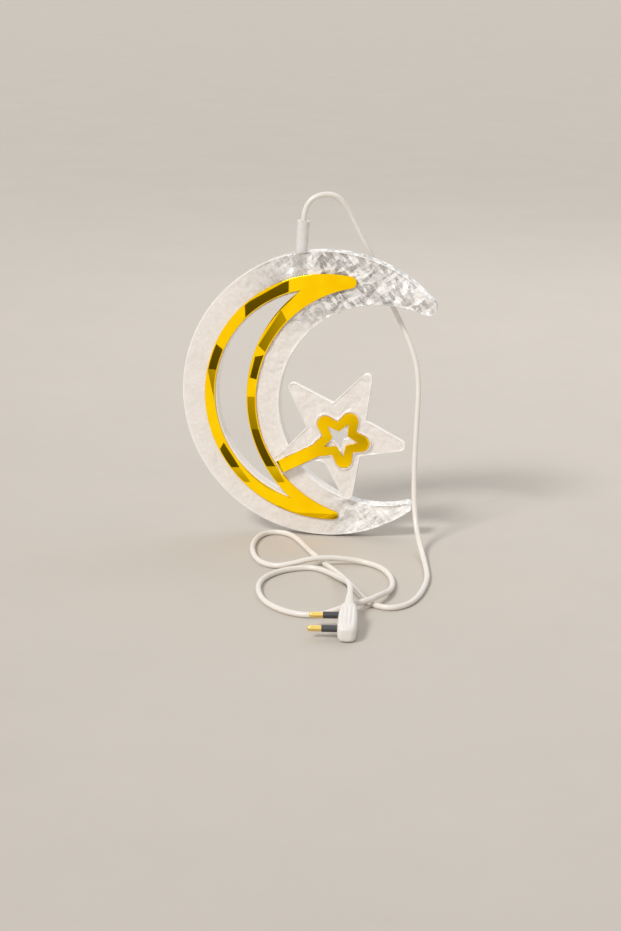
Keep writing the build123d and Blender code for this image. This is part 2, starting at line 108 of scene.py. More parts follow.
def quads(rows, cols, first=0, wrap=False):
    """Quads of a grid stored row by row, as indices. If it wraps, its last column joins the first."""
    index = first + np.arange(rows * cols).reshape(rows, cols)
    if wrap:
        index = np.hstack([index, index[:, :1]])
    corners = index[:-1, :-1], index[1:, :-1], index[1:, 1:], index[:-1, 1:]
    return np.stack([c.ravel() for c in corners], axis=1)


def with_edge_highlight(x, y, z, edge_highlight):
    """Stacks three coordinate arrays and the painted edge highlight, from 0 for clear to 1 for white, into
    one grid.
    """
    return np.stack(np.broadcast_arrays(x, y, z, edge_highlight), axis=-1)


def join_grids(grids):
    """Stacks grids, each an array (rows, columns, 4) and whether it wraps, into one array of points and one
    of quads."""
    points, faces, first = [], [], 0
    for grid, wrap in grids:
        rows, cols = grid.shape[:2]
        points.append(grid.reshape(-1, 4))
        faces.append(quads(rows, cols, first, wrap))
        first += rows * cols
    return np.concatenate(points), np.concatenate(faces)


def piece(name, grids, material, nodes):
    """Makes one welded, outward-facing piece from grids in millimetres that stands for CAD nodes."""
    points, faces = join_grids(grids)
    mesh = bpy.data.meshes.new(name)
    mesh.from_pydata((points[:, :3] * MM).tolist(), [], faces.tolist())
    # the grids' last column, the painted white edge highlight, is kept as a point attribute
    mesh.attributes.new("edge_highlight", "FLOAT", "POINT").data.foreach_set("value", points[:, 3])
    shape = bmesh.new()
    shape.from_mesh(mesh)
    bmesh.ops.remove_doubles(shape, verts=shape.verts, dist=WELD * MM)
    bmesh.ops.dissolve_degenerate(shape, edges=shape.edges, dist=COLLAPSE * MM)
    bmesh.ops.recalc_face_normals(shape, faces=shape.faces)
    shape.to_mesh(mesh)
    shape.free()
    mesh.polygons.foreach_set("use_smooth", np.ones(len(mesh.polygons), bool))
    mesh.set_sharp_from_angle(angle=SHARP_EDGE)
    mesh.materials.append(material)
    made = bpy.data.objects.new(name, mesh)
    bpy.context.scene.collection.objects.link(made)
    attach(made, "root")
    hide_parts(*nodes)
    return made


# Ice relief

RELIEF_TOP, RELIEF_DEPTH, RELIEF_RISE = 1.0, 1.2, 1.6
RELIEF_CALM = 0.15  # share of the relief that stays where there is no crackle
COVER_SEED, TRAY_SEED, STAR_SEED, SMALL_SEED = 1.0, 31.0, 57.0, 11
HASH = (127.1, 311.7, 74.7, 43758.5453)
LARGE_SHARD, LARGE_TILT, LARGE_SHARE = 8.0, 0.42, 0.42
SMALL_SHARD, SMALL_TILT, SMALL_SHARE = 4.2, 0.40, 0.16
SMALL_SHIFT = (3.1, -1.7)
SHARD_MARGIN, SHARD_SPREAD, SHARD_LIFT = 0.15, 0.7, 0.25
FALL_ALONG, FALL_BESIDE = 0.28, 0.85


def cell_random(i, j, channel):
    """Repeatable random share from 0 to 1 for each whole-number cell: the fraction of a large sine."""
    across, along, apart, large = HASH
    value = np.sin(i * across + j * along + channel * apart) * large
    return value - np.floor(value)


def shards(x, z, size, tilt, seed):
    """Height of broken-ice facets: the upper envelope of one tilted, lengthwise dome in each cell of a
    jittered grid. Each dome is a random plane less a quadratic that falls slowly along a random way and
    fast across it."""
    i0, j0 = np.floor(x / size), np.floor(z / size)
    best = np.full(x.shape, -FAR_OFF)
    for di in (-1, 0, 1):
        for dj in (-1, 0, 1):
            i, j = i0 + di, j0 + dj
            px = x / size - (i + SHARD_MARGIN + SHARD_SPREAD * cell_random(i, j, seed))
            pz = z / size - (j + SHARD_MARGIN + SHARD_SPREAD * cell_random(i, j, seed + 1))
            way = pi * cell_random(i, j, seed + 2)
            along = px * np.cos(way) + pz * np.sin(way)
            beside = pz * np.cos(way) - px * np.sin(way)
            lean_x = tilt * (2 * cell_random(i, j, seed + 3) - 1)
            lean_z = tilt * (2 * cell_random(i, j, seed + 4) - 1)
            lift = SHARD_LIFT * cell_random(i, j, seed + 5)
            height = lift + lean_x * px + lean_z * pz - FALL_ALONG * along**2 - FALL_BESIDE * beside**2
            best = np.maximum(best, height)
    return best * size


def ice(x, z, crackle, seed):
    """Relief of the acrylic, in millimetres below its face: large shards with small ones on them, deeper
    where the crackle, from 0 to 1, is stronger."""
    large = shards(x, z, LARGE_SHARD, LARGE_TILT, seed)
    small = shards(x + SMALL_SHIFT[0], z + SMALL_SHIFT[1], SMALL_SHARD, SMALL_TILT, seed + SMALL_SEED)
    height = LARGE_SHARE * large + SMALL_SHARE * small - RELIEF_TOP
    return np.clip(height, -RELIEF_DEPTH, 0.0) * (RELIEF_CALM + (1 - RELIEF_CALM) * crackle)


def ease(value):
    """Smooth step from 0 to 1."""
    value = np.clip(value, 0.0, 1.0)
    return value * value * (3.0 - 2.0 * value)


def bell(distance, wide):
    """Bell that is 1 in the middle and falls off over a width."""
    return np.exp(-((distance / wide) ** 2))


def horn_crackle(x, z):
    """Strength of the crackle over the crescent: none on the left, full on the two horns."""
    limits = UPPER_CRACKLE, LOWER_CRACKLE
    upper, lower = (ease((x - start) / (full - start)) for start, full in limits)
    rise = ease((z + CRACKLE_BLEND) / (2 * CRACKLE_BLEND))
    return upper * rise + lower * (1 - rise)


def cover_relief(x, z):
    """Relief of the cover's face."""
    return ice(x, z, horn_crackle(x, z), COVER_SEED)


def tray_relief(x, z):
    """Relief of the tray's face."""
    return ice(x, z, horn_crackle(x, z), TRAY_SEED)


def no_relief(x, z, edge=None):
    """A plain face."""
    return np.zeros_like(x)


# Crescent curves


def arc(center_x, center_z, radius, start, stop, count):
    """Points of an arc from one angle to another."""
    angle = np.linspace(start, stop, count)
    return np.stack([center_x + radius * np.cos(angle), center_z + radius * np.sin(angle)], axis=1)


def angle_of(point, center):
    """Angle of a point about a circle's centre, from 0 to a full turn."""
    return atan2(point[1] - center[1], point[0] - center[0]) % (2 * pi)


def circles_meet(first, second, upper):
    """The upper or lower point where two circles cross."""
    ax, az, ar = first
    bx, bz, br = second
    apart = sqrt((bx - ax) ** 2 + (bz - az) ** 2)
    along = (ar**2 - br**2 + apart**2) / (2 * apart)
    across = sqrt(ar**2 - along**2)
    ux, uz = (bx - ax) / apart, (bz - az) / apart
    side = across if upper else -across
    return np.array([ax + ux * along - uz * side, az + uz * along + ux * side])


def crescent_edges(outer, inner, rounds, count):
    """Outer and inner edge of a crescent from its upper tip to its lower one: half a tip arc, the long arc
    of the circle, half a tip arc. Point k of one edge faces point k of the other."""
    tips = []
    for upper, tip_round in zip((True, False), rounds):
        outer_reach, inner_reach = outer[2] - tip_round, inner[2] + tip_round
        center = circles_meet((*outer[:2], outer_reach), (*inner[:2], inner_reach), upper)
        ways = (center - outer[:2]) / outer_reach, (inner[:2] - center) / inner_reach
        nose = ways[0] + ways[1]
        tips.append((center, tip_round, ways, nose / np.linalg.norm(nose)))
    share = np.linspace(0, 1, TIP_ROWS)[:, None]
    edges = []
    for side, circle in enumerate((outer, inner)):
        fans, touches = [], []
        for center, tip_round, ways, nose in tips:
            way = ways[side]
            turn = np.arccos(np.clip(nose @ way, -1, 1))
            fan = (np.sin((1 - share) * turn) * nose + np.sin(share * turn) * way) / sin(turn)
            fans.append(center + tip_round * fan)
            touches.append(center + tip_round * way)
        start, stop = (angle_of(touch, circle) for touch in touches)
        long_arc = arc(*circle, start, stop if stop > start else stop + 2 * pi, count)
        edges.append(np.concatenate([fans[0][:-1], long_arc, fans[1][::-1][1:]]))
    return edges


def slot_edges(rim, bay, slot_outer, slot_inner):
    """Outer and inner edge of the slot at each point of the crescent's edges. Outside the slot both are one
    line that runs from the slot's tip to the horn's tip, and open_here says where the slot is open."""
    upper = circles_meet(slot_outer, slot_inner, True)
    lower = circles_meet(slot_outer, slot_inner, False)
    half = len(rim) // 2
    end = len(rim) - 1
    horn_rows = 2 * (TIP_ROWS - 1)
    span = bay - rim

    def facing(tip, part):
        """Row of a part of the edges whose line from edge to edge passes nearest to a tip."""
        gap = np.abs(span[part, 0] * (tip[1] - rim[part, 1]) - span[part, 1] * (tip[0] - rim[part, 0]))
        return part.start + int(np.argmin(gap / np.maximum(np.linalg.norm(span[part], axis=1), SMALL)))

    first = facing(upper, slice(horn_rows, half))
    last = facing(lower, slice(half, len(rim) - horn_rows))
    at_first, at_last = (
        ((tip - rim[k]) @ span[k]) / (span[k] @ span[k]) for tip, k in ((upper, first), (lower, last))
    )
    share = np.full(len(rim), 0.5)
    index = np.arange(len(rim))
    share[: first + 1] = 0.5 + (at_first - 0.5) * ease(index[: first + 1] / first)
    share[last:] = 0.5 + (at_last - 0.5) * ease((end - index[last:]) / (end - last))
    middle = rim + share[:, None] * span
    near, far = middle.copy(), middle.copy()
    count = last - first + 1
    for edge, circle in ((near, slot_outer), (far, slot_inner)):
        edge[first : last + 1] = arc(*circle, angle_of(upper, circle), angle_of(lower, circle), count)
    open_here = (index >= first) & (index <= last)
    return near, far, open_here


def face_columns(width, bevel, steps):
    """Places of a face's columns across it: close ones in the bevel at each edge and even ones between."""
    close = bevel * BEVEL_COLUMNS * np.minimum(1.0, BEVEL_MOST * width / bevel)
    inside = np.linspace(0, 1, steps + 2)[1:-1]
    reach = close[:, -1:]
    return np.hstack([close, reach + inside * (width - 2 * reach), width - close[:, ::-1]])


def quarter_round(distance, bevel):
    """Drop of a quarter round of size bevel at each distance from its edge."""
    fall = np.clip(1 - distance / bevel, 0, 1)
    return bevel * (1 - np.sqrt(1 - fall**2))


def face_strip(edge_a, edge_b, real_a, real_b, steps, level, out, bevel, relief):
    """One textured face between two edges: rows go along the edges and columns across. The face stands at
    level, drops in a quarter round of size bevel at a real edge, and carries the relief away from the
    edges. out is -1 for a face towards the viewer and 1 for one away."""
    span = edge_b - edge_a
    width = np.linalg.norm(span, axis=1)[:, None]
    offset = face_columns(width, bevel, steps)
    share = offset / np.maximum(width, TINY)
    flat = edge_a[:, None, :] + share[:, :, None] * span[:, None, :]
    to_a = offset + np.where(real_a, 0.0, FAR_OFF)[:, None]
    to_b = width - offset + np.where(real_b, 0.0, FAR_OFF)[:, None]
    distance = np.maximum(np.minimum(to_a, to_b), 0.0)
    rise = ease((distance - 0.5 * bevel) / RELIEF_RISE)
    height = relief(flat[..., 0], flat[..., 1]) * rise - quarter_round(distance, bevel)
    # the white that fades in from the edges is a painted highlight
    return with_edge_highlight(flat[..., 0], level + out * height, flat[..., 1], np.exp(-distance / HIGHLIGHT_FADE))


def flat_strip(edge_a, edge_b, level):
    """A plain face between two edges, one quad wide."""
    pair = np.stack([edge_a, edge_b], axis=1)
    return with_edge_highlight(pair[..., 0], level, pair[..., 1], 0.0)


def edge_wall(column, level):
    """Wall from one column of a face strip straight back to a level."""
    foot = column.copy()
    foot[:, 1] = level
    # the wall is painted part white as a highlight
    foot[:, 3] = WALL_HIGHLIGHT
    return np.stack([column, foot], axis=1)


def crescent_plate(outline, count, steps, front, back, bevel, relief):
    """Closed crescent plate with a slot: two textured strips, two plain ones behind them and the walls
    between. The outline is the outer circle, the inner one, the tips' rounds and the slot's circles."""
    outer, inner, rounds, slot_outer, slot_inner = outline
    out = 1 if front > back else -1
    rim, bay = crescent_edges(outer, inner, rounds, count)
    near, far, open_here = slot_edges(rim, bay, slot_outer, slot_inner)
    real = np.ones(len(rim), bool)
    outer_face = face_strip(rim, near, real, open_here, steps, front, out, bevel, relief)
    inner_face = face_strip(far, bay, open_here, real, steps, front, out, bevel, relief)
    slot_rows = np.nonzero(open_here)[0]
    grids = [outer_face, inner_face, flat_strip(rim, near, back), flat_strip(far, bay, back)]
    grids += [edge_wall(outer_face[:, 0], back), edge_wall(inner_face[:, -1], back)]
    grids += [edge_wall(outer_face[slot_rows, -1], back), edge_wall(inner_face[slot_rows, 0], back)]
    return grids


def ring_wall(edge, towards, thick, low, high):
    """Closed upright wall along a closed edge, between two levels: the edge and a copy of it moved towards
    facing points."""
    span = towards - edge
    width = np.linalg.norm(span, axis=1)[:, None]
    moved = edge + span / np.maximum(width, TINY) * np.minimum(thick, WALL_MOST * width)
    corners = [(edge, low), (edge, high), (moved, high), (moved, low)]
    # the wall is painted part white as a highlight
    grid = np.stack([with_edge_highlight(e[:, 0], y, e[:, 1], WALL_HIGHLIGHT) for e, y in corners], axis=1)
    return np.concatenate([grid, grid[:1]])


def in_crescent(grids, wrap=False):
    """Moves grids from the crescent's own plane to the object's frame."""
    shift = np.array([CRESCENT_CENTER[0], 0.0, CRESCENT_CENTER[1], 0.0])
    return [(grid + shift, wrap) for grid in grids]


# Star curves

HALF_POINT = pi / 5  # angle from a star's tip to its notch


def star_radius(angle, reach, notch, tip_round, notch_round):
    """Distance from the middle to the edge of a five-pointed star at each angle. One half point is folded
    onto the wedge from its tip, at angle 0, to its notch at 36 degrees, where the edge is a straight line
    with a tip arc at one end and a notch arc at the other."""
    fold = np.abs((angle + HALF_POINT) % (2 * HALF_POINT) - HALF_POINT)
    slope = atan2(notch * sin(HALF_POINT), reach - notch * cos(HALF_POINT))
    radius = reach * sin(slope) / np.sin(fold + slope)
    tip = reach - tip_round / sin(slope)
    touch = atan2(tip_round * cos(slope), tip + tip_round * sin(slope))
    tip_arc = tip * np.cos(fold) + np.sqrt(np.maximum(tip_round**2 - (tip * np.sin(fold)) ** 2, 0))
    radius = np.where(fold < touch, tip_arc, radius)
    half = HALF_POINT + slope
    center = notch + notch_round / np.sin(half)
    away = HALF_POINT - fold
    bend = notch_round**2 - (center * np.sin(away)) ** 2
    notch_arc = center * np.cos(away) - np.sqrt(np.maximum(bend, 0))
    near_notch = away < np.arctan2(notch_round * np.cos(half), center - notch_round * np.sin(half))
    return np.where(near_notch & (bend > 0), notch_arc, radius)


def bar_radius(angle, length, above, below):
    """Distance from the middle to the edge of a bar that runs out along angle 0 and ends at the middle."""
    c, s = np.cos(angle), np.sin(angle)
    end = np.where(c > SMALL, length / np.maximum(c, SMALL), 0.0)
    low = np.where(s > SMALL, below / np.maximum(s, SMALL), FAR_OFF)
    high = np.where(s < -SMALL, above / np.maximum(-s, SMALL), FAR_OFF)
    return np.minimum(end, np.minimum(low, high))


def spread_angles(radius_at, count, corners):
    """Angles spaced evenly along an outline rather than about its middle, with the corners kept."""
    angle = np.linspace(0, 2 * pi, OUTLINE_SAMPLES)
    radius = radius_at(angle)
    x, y = radius * np.cos(angle), radius * np.sin(angle)
    walked = np.concatenate([[0], np.cumsum(np.hypot(np.diff(x), np.diff(y)))])
    even = np.interp(np.linspace(0, walked[-1], count + 1)[:-1], walked, angle)
    return np.unique(np.concatenate([even, np.asarray(corners) % (2 * pi)]).round(6))


def star_plate(angle, inner, outer, steps, front, back, bevel, height_at, middle):
    """Closed plate between two outlines about a middle, turned as the star is: rows go round and columns
    go out. The face stands at front, drops in a quarter round at both edges and carries
    height_at(x, z, distance from the edge)."""
    width = (outer - inner)[:, None]
    offset = face_columns(width, bevel, steps)
    radius = inner[:, None] + offset
    distance = np.minimum(offset, width - offset)
    x = middle[0] + radius * np.cos(STAR_TURN + angle)[:, None]
    z = middle[1] + radius * np.sin(STAR_TURN + angle)[:, None]
    height = height_at(x, z, distance) - quarter_round(distance, bevel)
    # the white that fades in from both edges is a painted highlight
    face = with_edge_highlight(x, front - height, z, np.exp(-distance / HIGHLIGHT_FADE))
    rear = with_edge_highlight(x, back, z, 0.0)[:, [0, -1]]
    walls = [np.stack([face[:, k], rear[:, k]], axis=1) for k in (0, -1)]
    return [(np.concatenate([grid, grid[:1]]), False) for grid in [face, rear] + walls]


# Finishes


def finish(name, color, roughness, **sockets):
    """A new material with its shader's plain sockets set. Returns it with its node tree and shader."""
    material = bpy.data.materials.new(name)
    material.use_nodes = True
    tree = material.node_tree
    shader = tree.nodes["Principled BSDF"]
    shader.inputs["Base Color"].default_value = (*color, 1.0)
    shader.inputs["Roughness"].default_value = roughness
    for socket, value in sockets.items():
        shader.inputs[socket.replace("_", " ")].default_value = value
    return material, tree, shader


def node(tree, kind, inputs=(), **settings):
    """Adds a node, sets its properties, and sets or links its inputs."""
    made = tree.nodes.new(kind)
    for key, value in settings.items():
        setattr(made, key, value)
    for key, value in inputs:
        if isinstance(value, bpy.types.NodeSocket):
            tree.links.new(value, made.inputs[key])
        else:
            made.inputs[key].default_value = value
    return made


def place(tree):
    """Object coordinates."""
    return node(tree, "ShaderNodeTexCoord").outputs["Object"]


def noise(tree, where, scale, detail=3.0, roughness=0.55):
    """Noise pattern, from 0 to 1."""
    inputs = [("Vector", where), ("Scale", scale), ("Detail", detail), ("Roughness", roughness)]
    return node(tree, "ShaderNodeTexNoise", inputs).outputs["Fac"]


def ramp(tree, factor, stops):
    """Colour ramp with the given (place, colour) stops."""
    made = node(tree, "ShaderNodeValToRGB", [("Fac", factor)])
    elements = made.color_ramp.elements
    while len(elements) < len(stops):
        elements.new(0.5)
    for element, (at, color) in zip(elements, stops):
        element.position = at
        element.color = (*color, 1.0)
    return made.outputs["Color"]


def between(tree, value, low, high):
    """Spreads a value from 0 to 1 over another range."""
    inputs = [("Value", value), ("To Min", low), ("To Max", high)]
    return node(tree, "ShaderNodeMapRange", inputs).outputs["Result"]


def bump(tree, shader, height, strength, depth):
    """Bump on a shader from a height pattern, with the depth of a height of 1 in millimetres."""
    inputs = [("Height", height), ("Strength", strength), ("Distance", depth * MM)]
    tree.links.new(node(tree, "ShaderNodeBump", inputs).outputs["Normal"], shader.inputs["Normal"])


CLOUD_GRAINS, CLOUD_STOPS = 8, (0.3, 0.7)  # size of the clouds in grains, and where they are dark and light
POLISH_RANGE, GRAIN_STRENGTH = (0.8, 1.25), 0.25


def mottled(name, color, roughness, shade=0.06, grain=900.0, depth=0.03, **sockets):
    """Moulded or drawn stock: a slightly uneven colour and polish, with a fine grain."""
    material, tree, shader = finish(name, color, roughness, **sockets)
    where = place(tree)
    cloud = noise(tree, where, grain / CLOUD_GRAINS)
    dark = tuple(c * (1 - shade) for c in color)
    light = tuple(min(1.0, c * (1 + shade / 2)) for c in color)
    clouded = ramp(tree, cloud, list(zip(CLOUD_STOPS, (dark, light))))
    tree.links.new(clouded, shader.inputs["Base Color"])
    fine = noise(tree, where, grain)
    polish = between(tree, fine, *(roughness * share for share in POLISH_RANGE))
    tree.links.new(polish, shader.inputs["Roughness"])
    bump(tree, shader, fine, GRAIN_STRENGTH, depth)
    return material


def math(tree, operation, *values):
    """One arithmetic step."""
    return node(tree, "ShaderNodeMath", list(enumerate(values)), operation=operation).outputs["Value"]


def times(tree, first, second):
    """Product of two values."""
    return math(tree, "MULTIPLY", first, second)


def less(tree, value):
    """One less a value."""
    return math(tree, "SUBTRACT", 1.0, value)


def vector_math(tree, operation, *values):
    """Outputs of one step on vectors."""
    return node(tree, "ShaderNodeVectorMath", list(enumerate(values)), operation=operation).outputs


def spread(tree, value, limits, to_low=0.0, to_high=1.0):
    """Smooth step of a value between two limits."""
    inputs = [("Value", value), ("From Min", limits[0]), ("From Max", limits[1])]
    inputs += [("To Min", to_low), ("To Max", to_high)]
    return node(tree, "ShaderNodeMapRange", inputs, interpolation_type="SMOOTHSTEP").outputs["Result"]


def over(tree, coordinate, limits):
    """Smooth step from 0 to 1 of a coordinate between two places in millimetres."""
    return spread(tree, coordinate, [limit * MM for limit in limits])


def splinters(tree, where, turn, stretch, scale):
    """Flat splinters: a cell pattern, turned in the crescent's plane and stretched, with a random slope in
    each cell. Returns the height, the distance to the cells' edges and a random share for each cell."""
    turned = node(tree, "ShaderNodeMapping", [("Vector", where), ("Rotation", (0.0, turn, 0.0))])
    inputs = [("Vector", turned.outputs["Vector"]), ("Scale", (1.0, 1.0, stretch))]
    laid = node(tree, "ShaderNodeMapping", inputs).outputs["Vector"]
    inputs = [("Vector", laid), ("Scale", scale)]
    cells = node(tree, "ShaderNodeTexVoronoi", inputs).outputs
    edges = node(tree, "ShaderNodeTexVoronoi", inputs, feature="DISTANCE_TO_EDGE").outputs
    from_middle = vector_math(tree, "SUBTRACT", laid, cells["Position"])["Vector"]
    lean = vector_math(tree, "SUBTRACT", cells["Color"], (0.5, 0.5, 0.5))["Vector"]
    height = vector_math(tree, "DOT_PRODUCT", from_middle, lean)["Value"]
    share = node(tree, "ShaderNodeSeparateXYZ", [("Vector", cells["Color"])]).outputs["Y"]
    return height, edges["Distance"], share


# Ice acrylic: heights are in millimetres, and pairs go from low to high or from lower to upper horn
HORNS_PART = (-165.0, -135.0)  # heights between which one horn's crackle gives way to the other's
HORNS_MIDDLE, HORNS_OFF = -152.0, (45.0, 78.0)  # height midway, and how far off it the crackle fades in
SPIGOT_HEIGHTS = (-66.0, -60.0)  # heights over which the window on the spigot fades in
LONG_SPLINTERS = (radians(35), 3.2, 110.0)  # turn, stretch, cells in a metre
CROSS_SPLINTERS = (radians(-50), 3.4, 130.0)
CRACK_WIDE, CRACK_WHITE = 0.05, 0.6
FACET_WHITE, FACET_DRIFT, FACET_RANGE = (0.95, 0.35), 0.9, (0.5, 1.6)
DRIFT_SCALE, MILK_SCALE, POLISH_SCALE = 28.0, 400.0, 420.0
CLEAR_FACE, CLEAR_HORNS = 0.10, (0.45, 0.7)
# in the window the crackle's white is cut to the first share, and its clearness by the second, so that milky
# colour paints light over the shade on the spigot behind
WINDOW_WHITE, WINDOW_SHADE_COVER = 0.15, 0.45
MILK = [(0.32, (0.90, 0.835, 0.775)), (0.68, (1.0, 0.945, 0.895))]
ICE_WHITE, HORNS_WHITE = (1.0, 0.985, 0.965, 1.0), 0.7
ICE_POLISH, ICE_BUMP, SPLINTER_DEPTH = (0.06, 0.24), (0.12, 0.85), 300.0
MIX_FIRST, MIX_SECOND, MIX_RESULT = 6, 7, 2  # colour sockets of a Mix node


def horn_masks(tree, split):
    """Where the horns are crackled, and how far a point belongs to the upper one."""
    upper = over(tree, split["Z"], HORNS_PART)
    on_upper = times(tree, upper, over(tree, split["X"], UPPER_CRACKLE))
    on_lower = times(tree, less(tree, upper), over(tree, split["X"], LOWER_CRACKLE))
    off_middle = math(tree, "ABSOLUTE", math(tree, "SUBTRACT", split["Z"], HORNS_MIDDLE * MM))
    horns = times(tree, math(tree, "ADD", on_upper, on_lower), over(tree, off_middle, HORNS_OFF))
    behind_star = math(tree, "GREATER_THAN", split["Y"], (SHELL_FRONT + STAR_BACK) / 2 * MM)
    return times(tree, horns, behind_star), upper


def spigot_window(tree, split):
    """Where the acrylic is clear over the lamp's spigot."""
    middle, *fade = (size * MM for size in SPIGOT_WINDOW)
    beside = math(tree, "ABSOLUTE", math(tree, "SUBTRACT", split["X"], middle))
    return times(tree, spread(tree, beside, fade, 1.0, 0.0), over(tree, split["Z"], SPIGOT_HEIGHTS))


def ice_acrylic():
    """Clear acrylic broken up like ice: milky on the left and on the star, clear with a strong crackle of
    white-edged splinters on the horns, and a highlight painted white along every edge."""
    material, tree, shader = finish(
        "ice_acrylic", (0.95, 0.93, 0.91), 0.2, IOR=1.45, Coat_Weight=0.3, Coat_Roughness=0.04
    )
    where = place(tree)
    split = node(tree, "ShaderNodeSeparateXYZ", [("Vector", where)]).outputs
    horns, upper = horn_masks(tree, split)
    window = spigot_window(tree, split)
    long_height, long_edge, long_share = splinters(tree, where, *LONG_SPLINTERS)
    cross_height, cross_edge, cross_share = splinters(tree, where, *CROSS_SPLINTERS)
    edge = math(tree, "MINIMUM", long_edge, cross_edge)
    crack = spread(tree, edge, (0.0, CRACK_WIDE), CRACK_WHITE, 0.0)
    drift = between(tree, noise(tree, where, DRIFT_SCALE, 1.0), -FACET_DRIFT, FACET_DRIFT)
    drift = math(tree, "ADD", between(tree, upper, *FACET_WHITE), drift)
    facet = math(tree, "ADD", drift, math(tree, "ADD", long_share, cross_share))
    facet = math(tree, "MAXIMUM", spread(tree, facet, FACET_RANGE), crack)
    # white painted along edges and walls as a highlight, over the crackle's own white
    edge_highlight = node(tree, "ShaderNodeAttribute", attribute_name="edge_highlight").outputs["Fac"]
    white = math(tree, "MAXIMUM", times(tree, facet, horns), edge_highlight)
    white = times(tree, white, between(tree, window, 1.0, WINDOW_WHITE))
    clear = math(tree, "ADD", CLEAR_FACE, times(tree, horns, between(tree, upper, *CLEAR_HORNS)))
    # less clear over the spigot: milky colour painted over the shade on the spigot behind the clear window
    clear = times(tree, clear, less(tree, times(tree, window, WINDOW_SHADE_COVER)))
    clear = times(tree, clear, less(tree, white))
    tree.links.new(clear, shader.inputs["Transmission Weight"])
    milk = ramp(tree, noise(tree, where, MILK_SCALE, 4.0, 0.65), MILK)
    whole = math(tree, "MAXIMUM", white, times(tree, horns, HORNS_WHITE))
    inputs = [("Factor", whole), (MIX_FIRST, milk), (MIX_SECOND, ICE_WHITE)]
    pale = node(tree, "ShaderNodeMix", inputs, data_type="RGBA").outputs[MIX_RESULT]
    tree.links.new(pale, shader.inputs["Base Color"])
    polish = between(tree, noise(tree, where, POLISH_SCALE), *ICE_POLISH)
    tree.links.new(polish, shader.inputs["Roughness"])
    height = math(tree, "ADD", long_height, cross_height)
    bump(tree, shader, height, between(tree, horns, *ICE_BUMP), SPLINTER_DEPTH)
    return material


GOLD_TONES = [(0.35, (0.97, 0.55, 0.0015)), (0.65, (1.0, 0.62, 0.003))]
TONE_SCALE, GOLD_GRAIN, GOLD_POLISH = 60.0, 900.0, (0.02, 0.06)
WAVE_SCALE, WAVE_STRENGTH, WAVE_DEPTH = 22.0, 0.2, 0.4


def gold_mirror():
    """Gold mirror sheet: bright metal with a faint unevenness in its colour, polish and flatness."""
    material, tree, shader = finish("gold_mirror", (1.0, 0.59, 0.002), 0.04, Metallic=1.0)
    where = place(tree)
    tone = ramp(tree, noise(tree, where, TONE_SCALE, 2.0), GOLD_TONES)
    tree.links.new(tone, shader.inputs["Base Color"])
    polish = between(tree, noise(tree, where, GOLD_GRAIN), *GOLD_POLISH)
    tree.links.new(polish, shader.inputs["Roughness"])
    bump(tree, shader, noise(tree, where, WAVE_SCALE, 1.0), WAVE_STRENGTH, WAVE_DEPTH)
    return material


ICE = ice_acrylic()
GOLD = gold_mirror()
SLEEVE = mottled(
    "clear_sleeve", (0.97, 0.95, 0.92), 0.22, shade=0.03, Transmission_Weight=0.25, Coat_Weight=0.4
)
LEAD = mottled("lead_jacket", (0.85, 0.80, 0.74), 0.3, shade=0.03, Coat_Weight=0.3)
PLUG = mottled("plug_shell", (0.85, 0.82, 0.78), 0.32, shade=0.03, Coat_Weight=0.3)
BRASS = mottled("pin_brass", (0.93, 0.68, 0.20), 0.18, Metallic=1.0)
COLLAR = mottled("pin_insulation", (0.055, 0.055, 0.06), 0.42)
CAD_FINISHES = {
    "band_tape": mottled("clear_tape", (0.9, 0.9, 0.88), 0.4, Transmission_Weight=0.6),
    "diode_lens": mottled("diode_epoxy", (0.95, 0.92, 0.80), 0.12, Transmission_Weight=0.75),
    "diode_legs": mottled("tinned_wire", (0.76, 0.76, 0.77), 0.25, Metallic=1.0),
    "series_resistor": mottled("resistor_body", (0.74, 0.58, 0.36), 0.4),
    "lamp_cores": mottled("core_insulation", (0.86, 0.85, 0.83), 0.35),
    "shrink_tubes": mottled("shrink_sleeve", (0.82, 0.81, 0.79), 0.45),
    "lamp_grommet": mottled("clear_grommet", (0.88, 0.87, 0.85), 0.35, Transmission_Weight=0.4),
    "driver_board": mottled("board", (0.03, 0.22, 0.08), 0.4),
    "dropper_capacitor": mottled("capacitor_case", (0.42, 0.08, 0.03), 0.25),
    "bridge_rectifier": mottled("rectifier_case", (0.02, 0.02, 0.02), 0.4),
    "lamp_sleeve": SLEEVE,
    "plug_pins": BRASS,
    "pin_collars": COLLAR,
}
CAD_FINISHES["star_tape"] = CAD_FINISHES["tongue_pad"] = CAD_FINISHES["band_tape"]
CAD_FINISHES["plug_cores"] = CAD_FINISHES["lamp_cores"]
for name, material in CAD_FINISHES.items():
    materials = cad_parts[name].data.materials
    materials.clear()
    materials.append(material)


# Crescent cover, tray and gold band

SHELL_OUTLINE = (DISC, BAY, HORN_ROUNDS, SLOT_OUTER, SLOT_INNER)
COVER_BACK, TRAY_FRONT = SHELL_FRONT + PLATE, SHELL_BACK - PLATE

cover_grids = crescent_plate(
    SHELL_OUTLINE, SHELL_ROWS, SHELL_COLUMNS, SHELL_FRONT, COVER_BACK, SHELL_BEVEL, cover_relief
)
piece("crescent_cover_ice", in_crescent(cover_grids), ICE, ["crescent_cover"])

